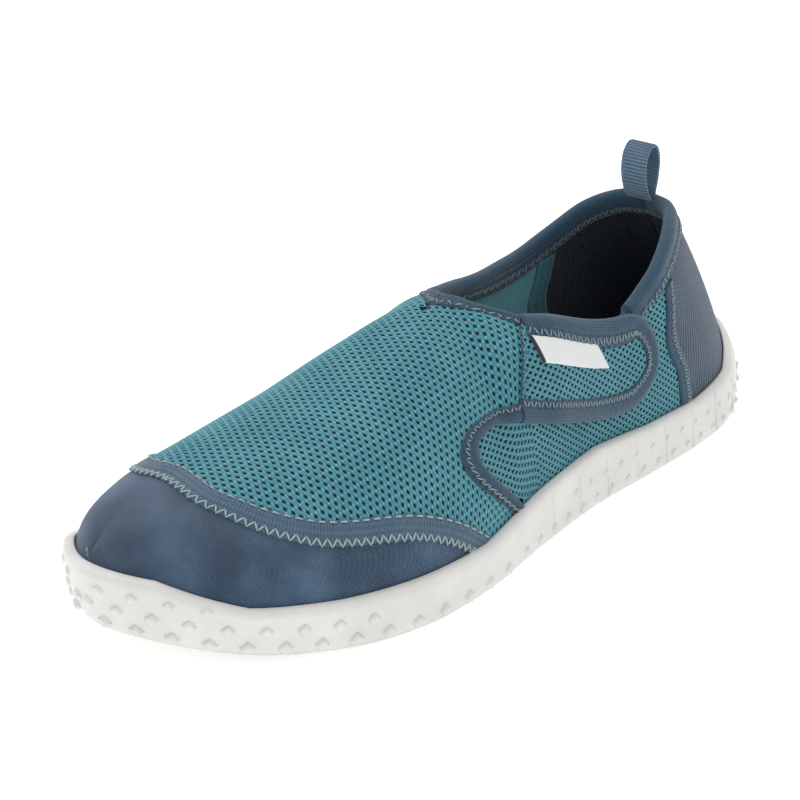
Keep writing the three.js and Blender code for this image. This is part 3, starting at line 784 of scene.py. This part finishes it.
def beside(line, inward):
    """The line moved sideways over the last by that many millimetres."""
    e = 0.002
    by_p = (on_last(line[:, 0] + e, line[:, 1]) - on_last(line[:, 0] - e, line[:, 1])) / (2 * e) / MM
    by_v = (on_last(line[:, 0], line[:, 1] - e) - on_last(line[:, 0], line[:, 1])) / -e / MM
    ahead = np.gradient(on_last(line[:, 0], line[:, 1]), axis=0)
    away = np.cross(np.cross(by_v, by_p), ahead)
    away *= inward / np.linalg.norm(away, axis=1, keepdims=True)
    pairs = zip(np.stack([by_p, by_v], 1), away)
    moved = [np.linalg.lstsq(np.stack(axes, 1), d, rcond=None)[0] for axes, d in pairs]
    return line + np.array(moved)


def picked(line, s):
    """The place at share s of a line, which may cross the ridge from one side to the other."""
    at = np.clip(s, 0, 1) * (len(line) - 1)
    k = np.minimum(at.astype(int), len(line) - 2)
    w = (at - k)[..., None]
    first, last = line[k], line[k + 1]
    jump = np.abs(first[..., 0] - last[..., 0]) > 6
    return np.where(jump[..., None], np.where(w < 0.5, first, last), first * (1 - w) + last * w)


TURN_ROUNDS = 60


def eased(spots, rounds, rows=None):
    """The places with each drawn towards its neighbours, over the first rows of them."""
    spots, rows = spots.copy(), rows or len(spots) - 1
    for _ in range(rounds):
        spots[1:rows] = (spots[: rows - 1] + 2 * spots[1:rows] + spots[2 : rows + 1]) / 4
    return spots


def eased_by(line, rows):
    """How far a line's first rows move when the turn in them is rounded off."""
    spots = on_last(line[:, 0], line[:, 1])
    return eased(spots, TURN_ROUNDS, rows) - spots if rows else 0 * spots


def band(name, first, last, section, paint, lift=None, body="shoe", turn=0):
    """A tape between two lines; section is its closed outline, share across and height."""
    count, outline = len(first), np.array(section + section[:1], float)
    reach = length_of(first)

    moved = [eased_by(line, turn) for line in (first, last)]
    edges = [on_last(line[:, 0], line[:, 1]) for line in (first, last)]
    tips = [on_last(line[:, 0], line[:, 1], 1.0) for line in (first, last)]
    normals = [eased(tip - spots, 6) for tip, spots in zip(tips, edges)]
    if turn:
        normals = [eased(n, TURN_ROUNDS, turn) for n in normals]
    edges = [spots + m for spots, m in zip(edges, moved)]
    raised = lift(first[:, 0]) if lift else np.zeros(count)

    def place(s, t):
        k = np.rint(s * (count - 1)).astype(int)
        share, high = outline[np.rint(t * (len(outline) - 1)).astype(int)].T
        held = np.clip(share, 0, 1)[:, None]
        spot = first[k] + (last[k] - first[k]) * held
        normal = normals[0][k] * (1 - held) + normals[1][k] * held
        normal /= np.linalg.norm(normal, axis=1, keepdims=True)
        over = (share[:, None] - held) * (edges[1][k] - edges[0][k])
        sideways = moved[0][k] * (1 - held) + moved[1][k] * held
        return on_last(spot[:, 0], spot[:, 1]) + sideways + over + normal * (high + raised[k])[:, None] * MM

    bm = lay(count - 1, len(outline) - 1, place, lambda s, t: np.stack([s * reach, t * 18], -1))
    bmesh.ops.holes_fill(bm, edges=[e for e in bm.edges if e.is_boundary])
    bmesh.ops.recalc_face_normals(bm, faces=bm.faces)
    made = solid(name, bm, paint.material)
    if body:
        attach(made, body)
    return made


def thread(
    name, first, last, shares, pitch, high, paint, thick=0.26, lift=None, body="shoe", dive=0.45,
    turn=0
):
    """A sewn thread: a zigzag between two shares across a tape, or a run of stitches along one."""
    strokes = int(length_of(first) / pitch * 2)
    ends = np.arange(strokes + 1)
    steps = 5
    at = np.linspace(0, strokes, strokes * steps + 1)
    share = np.interp(at, ends, np.where(ends % 2, shares[0], shares[1]))
    if shares[0] == shares[1]:
        rise = np.where(np.floor(at) % 2, -dive, 0.22 * np.sin(np.pi * (at % 1)) ** 0.5)
    else:
        rise = 0.25 * np.sin(np.pi * (at % 1)) - 0.1
    near, far = picked(first, at / strokes), picked(last, at / strokes)
    spot = near + (far - near) * share[:, None]
    over = high + rise + (lift(spot[:, 0]) if lift else 0)
    row = np.minimum(np.rint(at / strokes * (len(first) - 1)).astype(int), len(first) - 1)
    sideways = eased_by(first, turn)[row] * (1 - share[:, None]) + eased_by(last, turn)[row] * share[:, None]
    middle = on_last(spot[:, 0], spot[:, 1], over)
    normal = on_last(spot[:, 0], spot[:, 1], over + 1.0) - middle
    middle = middle + sideways
    normal /= np.linalg.norm(normal, axis=1, keepdims=True)
    ahead = np.gradient(middle, axis=0)
    beside = np.cross(ahead, normal)
    beside /= np.linalg.norm(beside, axis=1, keepdims=True) + 1e-12
    upward = np.cross(beside, ahead)
    upward /= np.linalg.norm(upward, axis=1, keepdims=True) + 1e-12

    def place(s, t):
        k = np.rint(s * (len(middle) - 1)).astype(int)
        turn = (t * math.tau)[:, None]
        return middle[k] + (beside[k] * np.cos(turn) + upward[k] * np.sin(turn)) * thick * MM

    bm = lay(len(middle) - 1, 5, place, lambda s, t: np.stack([s * strokes, t], -1))
    bmesh.ops.recalc_face_normals(bm, faces=bm.faces)
    made = solid(name, bm, paint.material)
    if body:
        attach(made, body)
    return made


def tape_paint(name, dark, light, rib_u, rib_v):
    paint = Paint(name, Roughness=0.75, Specular_IOR_Level=0.28, Sheen_Weight=0.3, Sheen_Roughness=0.4)
    u, v = paint.weave()
    ribs = (0.5 + 0.5 * (u * (math.tau / rib_u)).sine()) * (0.6 + 0.4 * (v * (math.tau / rib_v)).sine())
    fuzz = paint.noise(900.0, 3.0, 0.7)
    paint.colour(paint.blend(0.5 * ribs + 0.5 * fuzz + 0.3 * paint.noise(70.0, 2.0) - 0.15, dark, light))
    paint.relief(ribs + 0.8 * fuzz, 0.0002, 0.8)
    return paint


def thread_paint(name, pale, dark, swing):
    paint = Paint(name, Roughness=0.55, Sheen_Weight=0.2)
    u, v = paint.weave()
    ply = 0.5 + 0.5 * ((u * 5 + v) * math.tau).sine()
    # where paints each stitch darker towards both its ends, where the thread sinks into the cloth: painted
    # shade at the needle holes, as strong as swing says.
    where = 0.5 + 0.5 * ((u + 0.25) * math.tau).sine()
    paint.colour(paint.blend(swing * where + 0.3 * ply, pale, dark))
    paint.relief(ply, 0.0001)
    return paint


woven = tape_paint("navy_tape", tone(50, 72, 92), tone(100, 126, 146), 0.9, 1.6)
soft = tape_paint("navy_binding", tone(34, 60, 80), tone(70, 99, 120), 0.7, 0.8)
pale_thread = thread_paint("pale_thread", tone(176, 198, 196), tone(96, 118, 126), 0.35)
dark_thread = thread_paint("binding_thread", tone(146, 172, 178), tone(34, 52, 68), 1.0)


def both_sides(line):
    """An outer line from the feather up to the ridge, carried down the inner side."""
    return np.vstack([line, (line * [-1, 1])[::-1]])


def clear(line):
    """Keeps a moved line from passing over the ridge, and square to it there."""
    line[:, 1] = np.clip(line[:, 1], 0, 1)
    line[-1, 1] = 1
    return line


seam_line = even([[q, v] for v, q in TOE_SEAM], 110)
tape_net, tape_toe = both_sides(clear(beside(seam_line, -3.6))), both_sides(clear(beside(seam_line, 3.9)))
TAPE = [(0, 0.05), (0.02, 0.4), (0.12, 0.6), (0.5, 0.68), (0.88, 0.6), (0.98, 0.4), (1, 0.05), (0.5, 0.0)]
toe_tape = band("toe_seam_woven_tape", tape_net, tape_toe, TAPE, woven)
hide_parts("toe_seam_tape")
thread("toe_seam_run_stitches", tape_net, tape_toe, (0.1, 0.1), 3.2, 0.66, pale_thread, 0.3)
thread("toe_seam_zigzag", tape_net, tape_toe, (0.72, 1.04), 2.6, 0.62, pale_thread, 0.26)


# --- The quarter --------------------------------------------------------------------------
# The outer side behind the vamp: the same spacer mesh turned upright and stretched open,
# on a knit lining.
QUARTER = [
    [3.12, -0.05], [3.1, 0.2], [3.12, 0.35], [3.22, 0.53], [3.12, 0.72], [3.0, 0.97], [4.3, 0.97],
    [4.5, 0.82], [4.8, 0.76], [5.4, 0.4], [6.2, 0.42], [6.5, 0.43], [6.95, 0.425], [7.0, 0.38],
    [6.84, 0.29], [6.58, 0.2], [6.28, 0.12], [6.1, -0.05]
]
# Its first colour is the painted shade in the holes, its last the painted highlight on the yarns.
open_teal = spacer("open_teal_spacer", tone(6, 42, 54), tone(30, 102, 120), tone(104, 180, 192))
bm = net(
    (3.4, 4.7 / 2), (160, 130), (40, 30), lambda p, v: inside(np.abs(p), v, QUARTER),
    lambda p: 0 * p - 0.1, 0.42
)
quarter = solid("quarter_spacer_net", bm, open_teal.material)
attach(quarter, "shoe")
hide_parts("quarter_mesh")


def side_lining(s, t):
    return on_last(3.15 + s * 2.95, t * 0.975, -2.3)


lining = cut_sheet("quarter_lining_knit", side_lining, (100, 70), (70, 30), knit)
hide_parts("quarter_lining")

FORE = [
    [5.98, 0.475], [6.22, 0.468], [6.46, 0.45], [6.85, 0.458], [7, 0.448], [7.1, 0.428], [7.15, 0.387],
    [7.08, 0.323], [6.88, 0.241], [6.59, 0.15], [6.36, 0.077], [6.27, 0]
]
REAR = [
    [5.98, 0.402], [6.2, 0.403], [6.43, 0.4], [6.62, 0.407], [6.76, 0.407], [6.87, 0.4], [6.92, 0.37],
    [6.88, 0.322], [6.73, 0.257], [6.48, 0.175], [6.23, 0.09], [5.98, 0]
]
fore, rear = even(FORE, 120), even(REAR, 120)
PUFFED = [
    (-0.06, 0.05), (-0.05, 0.55), (0.1, 0.8), (0.4, 0.85), (0.5, 0.95), (0.65, 1.35), (0.85, 1.4),
    (0.98, 1.0), (1.02, 0.3), (1.0, -0.3), (0.5, -0.2)
]
edge_binding = band("vamp_edge_soft_binding", fore, rear, PUFFED, soft)
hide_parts("vamp_edge_binding")
thread("vamp_edge_zigzag", fore, rear, (0.02, 0.44), 3.0, 0.95, dark_thread, 0.24)


# --- The heel -----------------------------------------------------------------------------
# A navy neoprene panel round the heel over a stiff moulded counter, lined with dark knit,
# its seams covered by flat navy tapes.
def heel_place(s, t):
    return on_last((2 * s - 1) * (along_seam(HEEL_SEAM, t) + 0.02), t * 0.985, 0.0)


heel_navy = neoprene("navy_heel_jersey", tone(38, 56, 76), tone(62, 84, 106), 1.6, 0.4)
heel_panel = cut_sheet("heel_panel_jersey", heel_place, (150, 75), (150, 40), heel_navy)
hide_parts("heel_panel")

heel_knit = lining_paint("dark_heel_knit", tone(14, 22, 32), tone(34, 48, 64))
lining = cut_sheet(
    "heel_lining_knit", lambda s, t: on_last((2 * s - 1) * 3.3, t * 0.975, -2.9), (130, 70), (120, 30),
    heel_knit
)
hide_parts("heel_lining")

moulded = Paint("moulded_counter", Roughness=0.6)
moulded.colour(moulded.blend(moulded.noise(200.0), tone(60, 62, 66), tone(84, 86, 90)))
dress("heel_counter", moulded)

heel_line = even([[q, v] for v, q in HEEL_SEAM if v < 0.95], 70)
for side, end in ((1, "outer"), (-1, "inner")):
    near, far = (heel_line - [0.16, 0]) * [side, 1], (heel_line + [0.1, 0]) * [side, 1]
    tape = band(
        f"heel_seam_tape_{end}_flat", near, far,
        [(0, 0.05), (0.03, 0.5), (0.3, 0.75), (0.7, 0.75), (0.97, 0.5), (1, 0.05), (0.5, 0.0)], soft,
    )
    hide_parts(f"heel_seam_tape_{end}")
    thread(f"heel_seam_zigzag_{end}", near, far, (0.12, 0.62), 2.6, 0.72, dark_thread, 0.24)

herringbone = tape_paint("herringbone_tape", tone(44, 92, 104), tone(84, 138, 150), 1.6, 1.4)
inner_near, inner_far = heel_line * [-1, 1] - [-0.12, 0], heel_line * [-1, 1] - [0.26, 0]
inner_tape = band(
    "inside_seam_herringbone", inner_near, inner_far,
    [(0, -2.5), (0, -3.0), (0.1, -3.3), (0.9, -3.3), (1, -3.0), (1, -2.5)], herringbone
)
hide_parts("inside_seam_tape")


# --- The collar binding -------------------------------------------------------------------
# A soft navy binding folded over the top edge, from the strap's root round the throat and
# the heel, and zigzag stitched through along its lower half.
def below(p, depth):
    """The place depth millimetres down from the collar at each station."""
    fall = np.linalg.norm(on_last(p, 1.0 + 0 * p) - on_last(p, 0.9 + 0 * p), axis=-1) / 0.1 / MM
    return np.stack([p, 1 - depth / fall], -1)


THROAT_EDGE = [
    [5.99, 0.9], [6.1, 0.905], [6.22, 0.912], [6.5, 0.925], [6.68, 0.945], [6.78, 0.975], [6.84, 1]
]
throat_low = even(THROAT_EDGE, 26)
throat_high = np.stack([np.linspace(5.97, 6.5, 26), np.ones(26)], -1)
round_heel = np.concatenate([np.linspace(-5.97, -1.5, 130), np.linspace(-1.45, 4.05, 130)])
low_side = below(round_heel, 8.4)
low_side[:, 1] = np.where(
    round_heel < -5.2,
    np.interp(round_heel, [-5.97, -5.2], [0.9, low_side[np.searchsorted(round_heel, -5.2), 1]]),
    low_side[:, 1]
)
collar_high = np.vstack(
    [throat_high, (throat_high * [-1, 1])[::-1][1:], np.stack([round_heel, np.ones(260)], -1)[1:]]
)
collar_low = np.vstack([throat_low, (throat_low * [-1, 1])[::-1][1:], low_side[1:]])


def smoothstep(x):
    x = np.clip(x, 0, 1)
    return x * x * (3 - 2 * x)


def under_strap(p):
    """The collar binding sinks where the strap's end lies over it."""
    return -0.8 * smoothstep((p - 3.2) / 0.5) * (p < 5)


TURN_ROWS = 66
FOLDED = [
    (1, 0.1), (0.98, 0.6), (0.8, 0.85), (0.55, 0.9), (0.45, 1.05), (0.3, 1.4), (0.1, 1.3),
    (-0.02, 0.7), (-0.1, -0.3), (-0.11, -1.2), (-0.07, -2.2), (0.04, -3.0), (0.25, -3.35), (0.7, -3.3),
    (0.97, -3.1), (1, -2.2)
]
collar_binding = band(
    "collar_soft_binding", collar_high, collar_low, FOLDED, soft, lift=under_strap,
    turn=TURN_ROWS
)
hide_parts("collar_binding")
thread(
    "collar_zigzag", collar_high, collar_low, (0.56, 0.98), 3.1, 0.88, dark_thread, 0.24,
    lift=under_strap, turn=TURN_ROWS
)

thread(
    "collar_zigzag_inside", collar_high[TURN_ROWS:], collar_low[TURN_ROWS:], (0.5, 0.92), 3.1, -3.35,
    dark_thread, 0.24
)


# --- The strap ----------------------------------------------------------------------------
# Spacer mesh bound all round in the same soft binding, sewn down at its root on the vamp and
# held on the quarter by a hook patch on a loop patch.
STRAP_EDGE = [
    [5.96, 1], [5.6, 1], [5.2, 1], [4.8, 1], [4.4, 0.995], [4.15, 0.96], [3.97, 0.88], [3.84, 0.77],
    [3.77, 0.65], [3.79, 0.54], [3.9, 0.455], [4.12, 0.385], [4.39, 0.34], [4.8, 0.338], [5.23, 0.355],
    [5.67, 0.375], [6.12, 0.395], [6.22, 0.4]
]
ROOT = tuple(on_last(6.1, 0.7, 1.0)), tuple(on_last(5.84, 0.7, 1.0))


def strap_lift(p):
    return 1.7 * smoothstep((6.05 - p) / 0.4) - 1.7


strap_out = even(STRAP_EDGE, 220)
strap_in = beside(strap_out, -7.4)
strap_mid = beside(strap_out, -4.4)
BOUND = [
    (0, 1.3), (-0.06, 1.9), (-0.03, 2.8), (0.1, 3.45), (0.3, 3.65), (0.45, 3.4), (0.52, 3.25),
    (0.8, 3.2), (0.98, 3.0), (1, 2.6), (0.98, 1.5), (0.5, 1.2)
]
strap_binding = band(
    "strap_soft_binding", strap_out, strap_in, BOUND, soft, lift=strap_lift, body=None
)
strap_zigzag = thread(
    "strap_zigzag", strap_out, strap_in, (0.54, 0.98), 3.1, 3.2, dark_thread, 0.24, lift=strap_lift,
    body=None
)


def to_flat(q, v, side=1):
    across = np.linspace(-20, 130, 1501)
    a = float(form(np.array(side * q), np.array(v))[1])
    heights = from_flat(np.full(1501, a), across, side)[1]
    return a, float(np.interp(-v, -heights, across))


root_top, root_low = np.array(to_flat(6.0, 0.95)), np.array(to_flat(6.2, 0.45))
slope = root_top - root_low
root_cut = (
    (*root_low, 0),
    (slope[1] * (1 if slope[1] < 0 else -1), -slope[0] * (1 if slope[1] < 0 else -1), 0)
)
strap_outline = [list(x) for x in strap_mid] + [[6.4, 0.42], [6.4, 0.97]]
bm = net(
    (3.4, 4.7 / 2), (160, 130), (40, 30), lambda p, v: inside(np.abs(p), v, strap_outline),
    lambda p: 2.7 + strap_lift(p), 0.42, cuts=[root_cut]
)
strap_net = solid("strap_spacer_net", bm, open_teal.material)
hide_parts("strap_mesh")
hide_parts("strap_binding")
root_line = even([[6.0, 0.9], [6.03, 0.8], [6.08, 0.65], [6.15, 0.48]], 20)
thread("strap_root_stitches", root_line, root_line - [0.02, 0], (0.5, 0.5), 2.6, 1.05, dark_thread, 0.26)
for piece in (strap_net, strap_binding, strap_zigzag):
    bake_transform(piece)

hooked = Paint("hook_and_loop", Roughness=0.85)
hooked.colour(hooked.blend(hooked.noise(1800.0, 2.0), tone(40, 56, 72), tone(74, 94, 112)))
hooked.relief(hooked.noise(1600.0, 2.0), 0.0008)
dress("hook_patch", hooked)
dress("loop_patch", hooked)

satin = Paint("white_label", Roughness=0.5, Sheen_Weight=0.2)
u, v = satin.weave()
threads = (0.5 + 0.5 * (u * (math.tau / 0.35)).sine()) * (0.5 + 0.5 * (v * (math.tau / 0.3)).sine())
satin.colour(satin.blend(u.ramp(0.9, 1.0), tone(18, 20, 24), tone(236, 238, 238)))
satin.relief(threads, 0.0001)
CORNERS = np.array([[[5.97, 0.818], [5.0, 0.795]], [[5.87, 0.658], [4.79, 0.625]]])


def label_place(s, t):
    top = CORNERS[0, 0] + (CORNERS[0, 1] - CORNERS[0, 0]) * s[:, None]
    low = CORNERS[1, 0] + (CORNERS[1, 1] - CORNERS[1, 0]) * s[:, None]
    spot = top + (low - top) * t[:, None]
    rim = np.minimum(np.minimum(s, 1 - s) * 28, np.minimum(t, 1 - t) * 12)
    return on_last(
        spot[:, 0], spot[:, 1], 3.15 + strap_lift(spot[:, 0]) + 0.35 * np.clip(rim / 0.8, 0, 1) ** 0.5
    )


bm = lay(56, 24, label_place, lambda s, t: np.stack([s * 28, t * 11], -1))
label = solid("woven_label", bm, satin.material)
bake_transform(label)
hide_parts("strap_label")


# --- The pull tab -------------------------------------------------------------------------
# A loop of ribbed navy webbing sewn behind the collar at the heel.
LOOP = [
    [0, 0], [-2.2, 3], [-4, 9], [-3.6, 15], [-0.8, 18.6], [2.4, 17.6], [3.8, 13], [3.4, 7], [2.4, 2.6],
    [2.2, 0]
]
TAB_WIDE, TAB_THICK, TAB_RIBS = 10.0, 1.2, 46
webbing = tape_paint("ribbed_webbing", tone(50, 74, 94), tone(110, 136, 157), 1.0, 30)
loop_path = through(LOOP, np.linspace(0, len(LOOP) - 1, 231)) + [97.6, 80.6]
ahead = np.gradient(loop_path, axis=0)
ahead /= np.linalg.norm(ahead, axis=1, keepdims=True)
out = np.stack([-ahead[:, 1], ahead[:, 0]], -1)
RIBBON = [
    (-0.5, 0.35), (-0.47, 0.5), (-0.2, 0.5), (0.2, 0.5), (0.47, 0.5), (0.5, 0.35), (0.5, -0.35),
    (0.47, -0.5), (0.2, -0.5), (-0.2, -0.5), (-0.47, -0.5), (-0.5, -0.35)
]


def tab_place(s, t):
    k = np.rint(s * 230).astype(int)
    wide, deep = np.array(RIBBON + RIBBON[:1])[np.rint(t * len(RIBBON)).astype(int)].T
    deep = deep * (TAB_THICK + 0.22 * np.cos(s * math.tau * TAB_RIBS))
    yz = loop_path[k] + out[k] * deep[:, None]
    x = -0.3 + wide * (TAB_WIDE + 0.1 * np.sin(s * math.tau * TAB_RIBS))
    return (np.stack([x, yz[:, 0], yz[:, 1]], -1) + SHIFT) * MM


bm = lay(230, len(RIBBON), tab_place, lambda s, t: np.stack([s * TAB_RIBS, t * 20], -1))
bmesh.ops.holes_fill(bm, edges=[e for e in bm.edges if e.is_boundary])
bmesh.ops.recalc_face_normals(bm, faces=bm.faces)
tab = solid("pull_tab_webbing", bm, webbing.material)
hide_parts("pull_tab")
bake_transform(tab)
